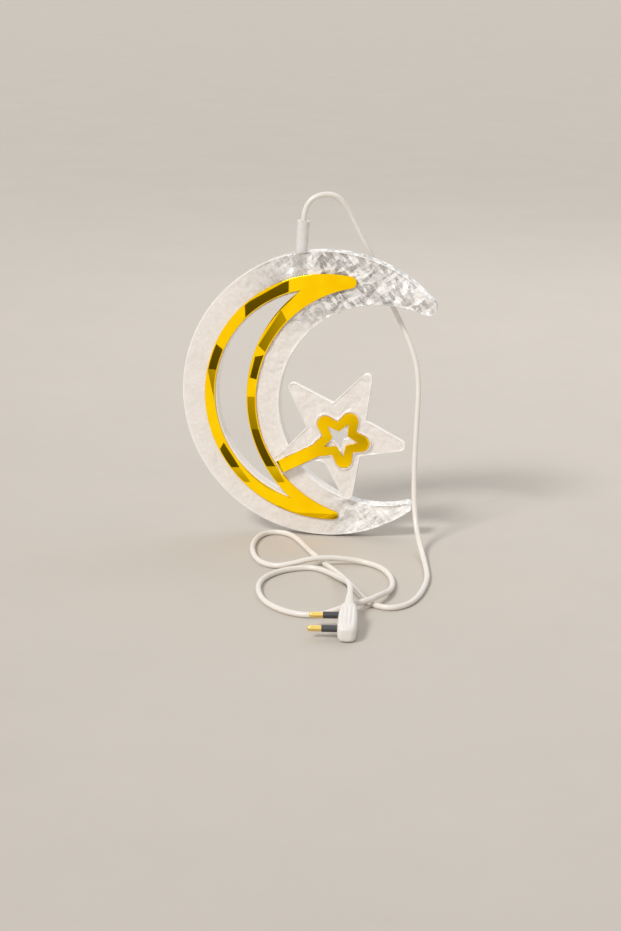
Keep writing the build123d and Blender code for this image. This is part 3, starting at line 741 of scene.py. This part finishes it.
tray_grids = crescent_plate(
    SHELL_OUTLINE, SHELL_ROWS, SHELL_COLUMNS, SHELL_BACK, TRAY_FRONT, SHELL_BEVEL, tray_relief
)
rim, bay = crescent_edges(DISC, BAY, HORN_ROUNDS, SHELL_ROWS)
near, far, open_here = slot_edges(rim, bay, SLOT_OUTER, SLOT_INNER)
shell_loop = np.concatenate([rim, bay[-2:0:-1]])
shell_towards = np.concatenate([near, far[-2:0:-1]])
slot_loop = np.concatenate([near[open_here], far[open_here][::-1]])
slot_towards = np.concatenate([rim[open_here], bay[open_here][::-1]])
wall_low, wall_high = COVER_BACK + WALL_CLEAR, TRAY_FRONT - WALL_CLEAR
walls = [ring_wall(shell_loop, shell_towards, WALL, wall_low, wall_high)]
walls += [ring_wall(slot_loop, slot_towards, WALL, wall_low, wall_high)]
tray_pieces = in_crescent(tray_grids) + in_crescent(walls, wrap=True)
piece("crescent_tray_ice", tray_pieces, ICE, ["crescent_tray"])

gold_back = SHELL_FRONT - GOLD_TAPE
band_slot = (*SLOT_OUTER[:2], SLOT_OUTER[2] + BAND_LAND)
band_outline = (BAND_OUTER, BAND_INNER, BAND_ROUNDS, band_slot, SLOT_INNER)
band_grids = crescent_plate(
    band_outline, BAND_ROWS, BAND_COLUMNS, gold_back - GOLD_THICK, gold_back, BAND_BEVEL, no_relief
)
piece("gold_crescent_mirror", in_crescent(band_grids), GOLD, ["gold_crescent"])


# Star panel and gold star

TONGUE_CUT = 0.5  # least cosine of the angle at which the tongue's end cuts the star


def star_outline(angle):
    """Star panel's edge: the star with its tongue."""
    tongue_notch = np.abs(angle - HALF_POINT) < HALF_POINT
    notch_round = np.where(tongue_notch, TONGUE_CORNER_ROUND, STAR_NOTCH_ROUND)
    star = star_radius(angle, STAR_REACH, STAR_NOTCH, STAR_ROUND, notch_round)
    tongue = bar_radius(angle, TONGUE_LENGTH, TONGUE_ABOVE, TONGUE_BELOW)
    along = np.cos(angle)
    limit = np.where(along > TONGUE_CUT, TONGUE_LENGTH / np.maximum(along, TONGUE_CUT), FAR_OFF)
    return np.minimum(np.maximum(star, tongue), limit)


def gold_star_outline(angle):
    """Gold star's edge: the lobed star with its stem."""
    star = star_radius(angle, GOLD_STAR_REACH, GOLD_STAR_NOTCH, GOLD_STAR_ROUND, GOLD_STAR_NOTCH_ROUND)
    return np.maximum(star, bar_radius(angle, STEM_LENGTH, STEM_HALF, STEM_HALF))


def window_outline(angle):
    """Edge of the small star window."""
    return star_radius(angle, WINDOW_REACH, WINDOW_NOTCH, WINDOW_ROUND, WINDOW_NOTCH_ROUND)


tongue_corners = [atan2(-TONGUE_ABOVE, TONGUE_LENGTH), atan2(TONGUE_BELOW, TONGUE_LENGTH)]
star_points = [k * pi / 5 for k in range(10)]
angle = spread_angles(star_outline, STAR_ROWS, tongue_corners + star_points)
star_front = STAR_BACK - STAR_THICK
gold_star_center = STAR_CENTER + GOLD_STAR_DROP * np.array([-sin(STAR_TURN), cos(STAR_TURN)])


def star_relief(x, z, edge):
    """Relief of the star panel: mild shards, and a low round lip that runs just outside the gold star's
    edge. The lip's height falls off as a bell with the distance outside that edge."""
    dx, dz = x - gold_star_center[0], z - gold_star_center[1]
    outside = np.hypot(dx, dz) - gold_star_outline(np.arctan2(dz, dx) - STAR_TURN)
    lip = LIP_HIGH * bell(outside - LIP_OUT, LIP_WIDE)
    off_lip = ease((np.abs(outside - LIP_OUT) - LIP_CLEAR) / LIP_FADE)
    shard = ice(x, z, STAR_CRACKLE, STAR_SEED) * ease((edge - STAR_CALM) / RELIEF_RISE) * off_lip
    return shard + lip * ease(edge / LIP_RISE)


star_grids = star_plate(
    angle, window_outline(angle), star_outline(angle), STAR_COLUMNS, star_front, STAR_BACK, STAR_BEVEL,
    star_relief, STAR_CENTER,
)
piece("star_panel_ice", star_grids, ICE, ["star_panel"])

stem_corners = [atan2(-STEM_HALF, STEM_LENGTH), atan2(STEM_HALF, STEM_LENGTH)]
angle = spread_angles(gold_star_outline, GOLD_STAR_ROWS, stem_corners + star_points)
gold_star_back = star_front - GOLD_TAPE
gold_star_grids = star_plate(
    angle, window_outline(angle), gold_star_outline(angle), GOLD_STAR_COLUMNS,
    gold_star_back - GOLD_THICK, gold_star_back, GOLD_STAR_BEVEL, no_relief, gold_star_center,
)
piece("gold_star_mirror", gold_star_grids, GOLD, ["gold_star"])


# Plug body and boot

PLUG_RIGHT, PLUG_FRONT = 49.0, -237.0
PLUG_TILT, PLUG_TURN = radians(8.0), radians(6.0)
PLUG_LONG, PLUG_WIDE, PLUG_DEEP = 38.0, 11.5, 13.0
PLUG_WIDEST, PLUG_BULGE = 16.0, 180.0
PLUG_FAR_ROUND, PLUG_CABLE_ROUND = 3.4, 3.0
PLUG_SQUARENESS = 3.2  # exponent of the section's rounded box
PLUG_RING, PLUG_ROWS, PLUG_END_ROWS = 384, 40, 12
PLUG_END_SHARE = 0.8  # share of the end rounds that the thickness takes
PLUG_FLAT = 0.5  # least sine of the turn on the upper and lower sides
PLUG_GROOVES = (-2.6, 0.2, 3.0)  # places of the lengthwise grip grooves across the upper side
GROOVE_DEEP, GROOVE_WIDE, GROOVE_FADE = 0.5, 0.7, 2.0
GROOVE_FAR_END, GROOVE_CABLE_END = 5.0, 6.0
PARTING_LEFT, PARTING_WIDE, PARTING_SHARE = 1.5, 0.25, 0.5
BOOT_LONG, BOOT_BASE, BOOT_TIP, BOOT_TAPER = 20.0, 4.3, 2.4, 1.4
BOOT_SUNK, BOOT_ROWS, BOOT_RING = 0.6, 121, 64
BOOT_RINGS, RING_DEEP, RING_POWER = 5, 0.3, 3
RINGS_FROM, RINGS_SPAN = 0.35, 0.6  # shares of the boot's length


def ring(count):
    """Angles once round, as one row."""
    return np.linspace(0, 2 * pi, count + 1)[None, :-1]


def on_plug(right, along, up, edge_highlight=0.0):
    """Carries coordinates across, along and above the plug's tilted and turned bed to the object's frame."""
    back = along * cos(PLUG_TILT) - up * sin(PLUG_TILT)
    x = PLUG_RIGHT + right * cos(PLUG_TURN) - back * sin(PLUG_TURN)
    y = PLUG_FRONT + right * sin(PLUG_TURN) + back * cos(PLUG_TURN)
    z = TABLE + along * sin(PLUG_TILT) + up * cos(PLUG_TILT)
    return with_edge_highlight(x, y, z, edge_highlight)


def plug_body():
    """Barrel body as sections along the plug: each is a rounded box (a superellipse) whose half width
    follows the bulging sides and which shrinks in a quarter round at both ends. Grip grooves and the
    parting line are bells taken off its upper and lower sides."""
    turn = ring(PLUG_RING)
    across, above = np.cos(turn), np.sin(turn)
    swell = 1 - np.cos(np.linspace(0, pi / 2, PLUG_END_ROWS))
    far = PLUG_FAR_ROUND * swell
    cable = PLUG_LONG - PLUG_CABLE_ROUND * swell[::-1]
    middle = np.linspace(far[-1], cable[0], PLUG_ROWS)[1:-1]
    along = np.concatenate([far, middle, cable])[:, None]
    end = np.maximum(1 - along / PLUG_FAR_ROUND, 1 - (PLUG_LONG - along) / PLUG_CABLE_ROUND)
    end = np.clip(end, 0, 1)
    size = np.where(along < PLUG_LONG / 2, PLUG_FAR_ROUND, PLUG_CABLE_ROUND)
    pull = size * (1 - np.sqrt(1 - end**2))
    half_deep = PLUG_DEEP / 2 - (along - PLUG_WIDEST) ** 2 / (2 * PLUG_BULGE) - pull
    half_wide = PLUG_WIDE / 2 - PLUG_END_SHARE * pull
    box = np.abs(across) ** PLUG_SQUARENESS + np.abs(above) ** PLUG_SQUARENESS
    box = box ** (-1 / PLUG_SQUARENESS)
    right, up = half_deep * box * across, half_wide * box * above
    inside = ease((along - GROOVE_FAR_END) / GROOVE_FADE)
    inside = inside * ease((PLUG_LONG - GROOVE_CABLE_END - along) / GROOVE_FADE)
    cut = sum(bell(right - at, GROOVE_WIDE) for at in PLUG_GROOVES) * inside
    parting = PARTING_SHARE * bell(right + PARTING_LEFT, PARTING_WIDE)
    up = up - GROOVE_DEEP * (cut + parting) * np.sign(above) * (np.abs(above) > PLUG_FLAT)
    rows = on_plug(right, along, PLUG_WIDE / 2 + up)
    grow = np.array([[0.0], [1.0]])
    caps = [on_plug(right[k] * grow, along[k], PLUG_WIDE / 2 + up[k] * grow) for k in (0, -1)]
    grids = [(grid, True) for grid in [rows] + caps]
    return piece("plug_body_barrel", grids, PLUG, ["plug_base", "plug_cover"])


def plug_boot():
    """Tapered strain relief: a radius that falls off along the lead, less a few ring grooves near the tip,
    turned round the cable's axis and closed at both ends."""
    share = np.linspace(0, 1, BOOT_ROWS)[:, None]
    turn = ring(BOOT_RING)
    radius = BOOT_TIP + (BOOT_BASE - BOOT_TIP) * (1 - share) ** BOOT_TAPER
    rings = np.sin(pi * BOOT_RINGS * np.clip((share - RINGS_FROM) / RINGS_SPAN, 0, 1)) ** 2
    radius = radius - RING_DEEP * rings**RING_POWER
    closed = np.zeros((1, 1))
    radius = np.concatenate([closed, radius, closed])
    along = PLUG_LONG - BOOT_SUNK + (BOOT_LONG + BOOT_SUNK) * np.concatenate([closed, share, closed + 1])
    rows = on_plug(radius * np.cos(turn), along, PLUG_WIDE / 2 + radius * np.sin(turn))
    return piece("plug_boot_taper", [(rows, True)], LEAD, ["plug_boot"])


barrel = plug_body()
boot = plug_boot()


# Supply lead

LEAD_DIAMETER = 4.0
ON_TABLE = TABLE + LEAD_DIAMETER / 2
CROSSING = TABLE + 1.5 * LEAD_DIAMETER + 0.5
LEAD_ROUTE = [
    (-18.832, 0.0, -16.893),
    (-18.380, 0.0, -9.507),
    (-13.5, 1.5, -1.0),
    (-4.0, 4.0, 2.6),
    (5.5, 7.0, 0.5),
    (13.0, 10.0, -9.0),
    (20.0, 12.5, -24.5),
    (29.5, 15.0, -44.0),
    (37.0, 15.5, -63.0),
    (45.0, 15.0, -80.0),
    (54.0, 13.0, -97.0),
    (61.0, 10.0, -111.5),
    (65.5, 7.0, -126.0),
    (67.0, 3.0, -143.0),
    (66.5, -1.0, -162.0),
    (66.0, -6.0, -183.0),
    (66.0, -11.0, -204.0),
    (67.0, -17.0, -222.0),
    (69.5, -25.0, -238.0),
    (73.5, -37.0, -247.5),
    (78.0, -53.0, -252.0),
    (82.5, -75.0, ON_TABLE),
    (86.5, -99.0, ON_TABLE),
    (86.5, -122.0, ON_TABLE),
    (84.5, -144.0, ON_TABLE),
    (79.5, -160.5, ON_TABLE),
    (69.5, -169.5, ON_TABLE),
    (58.0, -165.5, ON_TABLE),
    (49.0, -154.0, ON_TABLE),
    (42.0, -138.0, ON_TABLE),
    (33.5, -120.5, ON_TABLE),
    (24.5, -103.0, ON_TABLE),
    (15.0, -87.5, ON_TABLE),
    (6.0, -73.5, ON_TABLE),
    (-3.5, -56.0, ON_TABLE),
    (-12.5, -37.5, ON_TABLE),
    (-20.5, -22.0, ON_TABLE),
    (-28.5, -11.5, ON_TABLE),
    (-38.5, -7.5, ON_TABLE),
    (-47.5, -13.0, ON_TABLE),
    (-51.0, -28.0, ON_TABLE),
    (-49.5, -50.0, ON_TABLE),
    (-43.5, -71.5, ON_TABLE),
    (-34.5, -86.5, ON_TABLE),
    (-23.0, -91.5, ON_TABLE),
    (-11.0, -88.5, -251.0),
    (0.5, -83.5, CROSSING),
    (13.0, -79.0, CROSSING),
    (27.0, -74.0, -250.5),
    (40.5, -73.0, ON_TABLE),
    (51.5, -82.5, ON_TABLE),
    (60.0, -99.0, ON_TABLE),
    (64.5, -119.0, ON_TABLE),
    (64.5, -138.0, -251.5),
    (60.5, -155.0, CROSSING),
    (54.0, -168.0, CROSSING),
    (45.5, -176.5, CROSSING),
    (35.5, -184.0, -250.5),
    (26.0, -189.5, ON_TABLE),
    (15.5, -192.0, ON_TABLE),
    (4.5, -189.5, ON_TABLE),
    (-6.5, -182.0, ON_TABLE),
    (-16.0, -171.0, ON_TABLE),
    (-23.0, -157.0, ON_TABLE),
    (-27.5, -141.0, ON_TABLE),
    (-28.5, -124.5, ON_TABLE),
    (-24.5, -110.5, ON_TABLE),
    (-17.0, -99.5, ON_TABLE),
    (-8.0, -93.0, ON_TABLE),
    (1.5, -90.0, ON_TABLE),
    (10.5, -94.0, ON_TABLE),
    (19.0, -104.0, -252.5),
    (26.0, -118.0, -250.3),
    (32.0, -134.0, -246.5),
    (37.5, -151.0, -242.0),
    (41.838, -168.857, -239.564),
    (43.08, -180.675, -241.234),
]


def supply_lead():
    """Round lead on one smooth curve through the route's control points."""
    curve = bpy.data.curves.new("supply_lead_flex", "CURVE")
    curve.dimensions = "3D"
    spline = curve.splines.new("NURBS")
    spline.points.add(len(LEAD_ROUTE) - 1)
    route = np.array(LEAD_ROUTE) * MM
    spline.points.foreach_set("co", np.hstack([route, np.ones((len(route), 1))]).ravel())
    spline.order_u = 3
    spline.use_endpoint_u = True
    curve.resolution_u = 8
    curve.bevel_depth = LEAD_DIAMETER / 2 * MM
    curve.bevel_resolution = 5
    curve.materials.append(LEAD)
    made = bpy.data.objects.new("supply_lead_flex", curve)
    bpy.context.scene.collection.objects.link(made)
    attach(made, "root")
    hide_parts("supply_lead")
    plug_nodes = ["plug_pins", "pin_collars", "plug_cores"]
    plug_nodes += ["driver_board", "dropper_capacitor", "bridge_rectifier"]


supply_lead()


# Floor, light and camera

FLOOR_HALF = 60000.0
CAMERA_AT = Vector((226.64, -1443.56, 191.43))
CAMERA_WAY = Vector((-0.15866, 0.95260, -0.25956))
CAMERA_LENS, CAMERA_SENSOR = 77.75, 36.0

floor_mesh = bpy.data.meshes.new("floor")
floor_corners = [(-1, -1), (1, -1), (1, 1), (-1, 1)]
floor_mesh.from_pydata(
    [(x * FLOOR_HALF * MM, y * FLOOR_HALF * MM, TABLE * MM) for x, y in floor_corners], [], [(0, 1, 2, 3)]
)
floor_finish = mottled("floor_card", (0.60, 0.555, 0.50), 0.7, shade=0.02, grain=60.0, depth=0.0)
floor_mesh.materials.append(floor_finish)
floor = bpy.data.objects.new("floor", floor_mesh)
bpy.context.scene.collection.objects.link(floor)


SURROUND, SURROUND_LIGHT, SURROUND_SEEN = (1.0, 0.985, 0.97, 1.0), 0.5, 1.0


def studio_world():
    """Soft white surround: half strength as light, and full where it is seen, mirrored or seen through."""
    world = bpy.data.worlds.new("studio")
    world.use_nodes = True
    tree = world.node_tree
    background = tree.nodes["Background"]
    background.inputs["Color"].default_value = SURROUND
    path = node(tree, "ShaderNodeLightPath").outputs
    seen = math(tree, "MAXIMUM", path["Is Camera Ray"], path["Is Glossy Ray"])
    seen = math(tree, "MAXIMUM", seen, path["Is Transmission Ray"])
    strength = between(tree, seen, SURROUND_LIGHT, SURROUND_SEEN)
    tree.links.new(strength, background.inputs["Strength"])
    bpy.context.scene.world = world


studio_world()


def lamp(name, kind, at, target, power, **settings):
    """Light at a place in metres, turned to a target."""
    light = bpy.data.lights.new(name, kind)
    light.energy = power
    for key, value in settings.items():
        setattr(light, key, value)
    made = bpy.data.objects.new(name, light)
    made.location = at
    made.rotation_euler = (Vector(target) - Vector(at)).to_track_quat("-Z", "Y").to_euler()
    bpy.context.scene.collection.objects.link(made)


lamp(
    "key", "SUN", at=(-0.7, -1.1, 1.1), target=(0.0, 0.0, -0.15), power=1.85,
    angle=radians(14), color=(1.0, 0.98, 0.95),
)
lamp("back", "AREA", at=(0.3, 0.9, 0.9), target=(0.0, 0.0, -0.12), power=4.0, shape="SQUARE", size=1.2)


# Reflector card in front of the gold, which only mirrors see: white, with dark and grey flags that give
# the sheet its bands of shade. Each flag is given where it shows on the gold and lies where the mirrored
# sight line meets the card.

CARD_AHEAD, CARD_LIFT, CARD_STEP = 50.0, 3.0, 0.1
CARD_Y = SHELL_FRONT - GOLD_TAPE - GOLD_THICK - CARD_AHEAD
FLAG_DARK, FLAG_GREY, FLAG_PALE = 0.10, 0.36, 0.52
FLAG_GRADE = (0.75, 0.9, 1.4, 1.2)  # how the level of a flag changes from corner to corner


def flag(level, *corners):
    """A patch of about one level: its corners x, z in turn from the lower left, each with its own graded
    level."""
    return [(x, z, level * grade) for (x, z), grade in zip(corners, FLAG_GRADE)]


CARD_PATCHES = [  # the white card, the flags, and the shade on the star
    [(-170.0, -252.0, 1.0), (110.0, -252.0, 1.0), (110.0, -20.0, 1.0), (-170.0, -20.0, 1.0)],
    flag(FLAG_DARK, (-61.1, -94.4), (-28.8, -74.2), (-28.7, -59.3), (-61.8, -78.6)),
    flag(FLAG_DARK, (-90.6, -128.8), (-80.7, -129.3), (-74.5, -116.8), (-84.4, -108.7)),
    flag(FLAG_GREY, (-85.4, -153.9), (-83.6, -153.9), (-80.7, -129.3), (-90.6, -128.8)),
    flag(FLAG_DARK, (-79.2, -204.3), (-66.8, -203.7), (-79.0, -184.8), (-85.1, -195.5)),
    flag(FLAG_PALE, (-71.6, -215.3), (-58.3, -214.7), (-66.8, -203.7), (-79.2, -204.3)),
    flag(FLAG_GREY, (-51.9, -109.3), (-45.0, -115.8), (-28.8, -92.2), (-34.5, -82.2)),
    flag(FLAG_DARK, (-58.3, -134.1), (-51.9, -135.6), (-44.4, -115.8), (-54.2, -117.8)),
    flag(FLAG_GREY, (-61.7, -173.6), (-52.2, -173.3), (-53.4, -148.4), (-61.9, -148.7)),
    flag(FLAG_DARK, (-50.8, -202.1), (-38.4, -201.6), (-51.5, -173.2), (-61.0, -173.6)),
    flag(FLAG_PALE, (-46.6, -214.9), (-32.1, -213.5), (-38.4, -201.6), (-50.8, -202.1)),
    [(-14.0, -203.0, 1.0), (34.6, -197.0, 1.0), (34.6, -172.0, 0.45), (-14.0, -178.0, 0.95)],
    [(-14.0, -178.0, 0.95), (34.6, -172.0, 0.45), (34.3, -148.5, 0.75), (-14.0, -152.0, 0.9)],
]


def card_finish():
    """Plain white glow as strong as the level at each point of the card."""
    material = bpy.data.materials.new("reflector_card")
    material.use_nodes = True
    tree = material.node_tree
    tree.nodes.remove(tree.nodes["Principled BSDF"])
    level = node(tree, "ShaderNodeAttribute", attribute_name="level").outputs["Fac"]
    glow = node(tree, "ShaderNodeEmission", [("Strength", level)])
    tree.links.new(glow.outputs["Emission"], tree.nodes["Material Output"].inputs["Surface"])
    return material


def reflector_card():
    """One quad for each patch, the later ones a little nearer to the gold. A corner lies as far from its
    place on the gold as the sight line from the camera moves over the card's distance."""
    corners = np.array(CARD_PATCHES)
    x, z, level = corners[..., 0], corners[..., 1], corners[..., 2]
    ahead = CARD_AHEAD / (CARD_Y + CARD_AHEAD - CAMERA_AT.y)
    y = np.broadcast_to(CARD_Y + CARD_STEP * np.arange(len(corners))[:, None], x.shape)
    high = np.maximum(z + (z - CAMERA_AT.z) * ahead, TABLE + CARD_LIFT)
    points = np.stack([x + (x - CAMERA_AT.x) * ahead, y, high], axis=-1).reshape(-1, 3) * MM
    mesh = bpy.data.meshes.new("reflector_card")
    mesh.from_pydata(points.tolist(), [], np.arange(len(points)).reshape(-1, 4).tolist())
    mesh.attributes.new("level", "FLOAT", "POINT").data.foreach_set("value", level.ravel())
    mesh.materials.append(card_finish())
    card = bpy.data.objects.new("reflector_card", mesh)
    bpy.context.scene.collection.objects.link(card)
    card.visible_camera = card.visible_diffuse = card.visible_transmission = False
    card.visible_shadow = card.visible_volume_scatter = False


reflector_card()

camera_data = bpy.data.cameras.new("camera")
camera_data.lens = CAMERA_LENS
camera_data.sensor_width = CAMERA_SENSOR
camera = bpy.data.objects.new("camera", camera_data)
camera.location = CAMERA_AT * MM
camera.rotation_euler = CAMERA_WAY.to_track_quat("-Z", "Y").to_euler()
bpy.context.scene.collection.objects.link(camera)
bpy.context.scene.camera = camera
bpy.context.scene.view_settings.view_transform = "Standard"
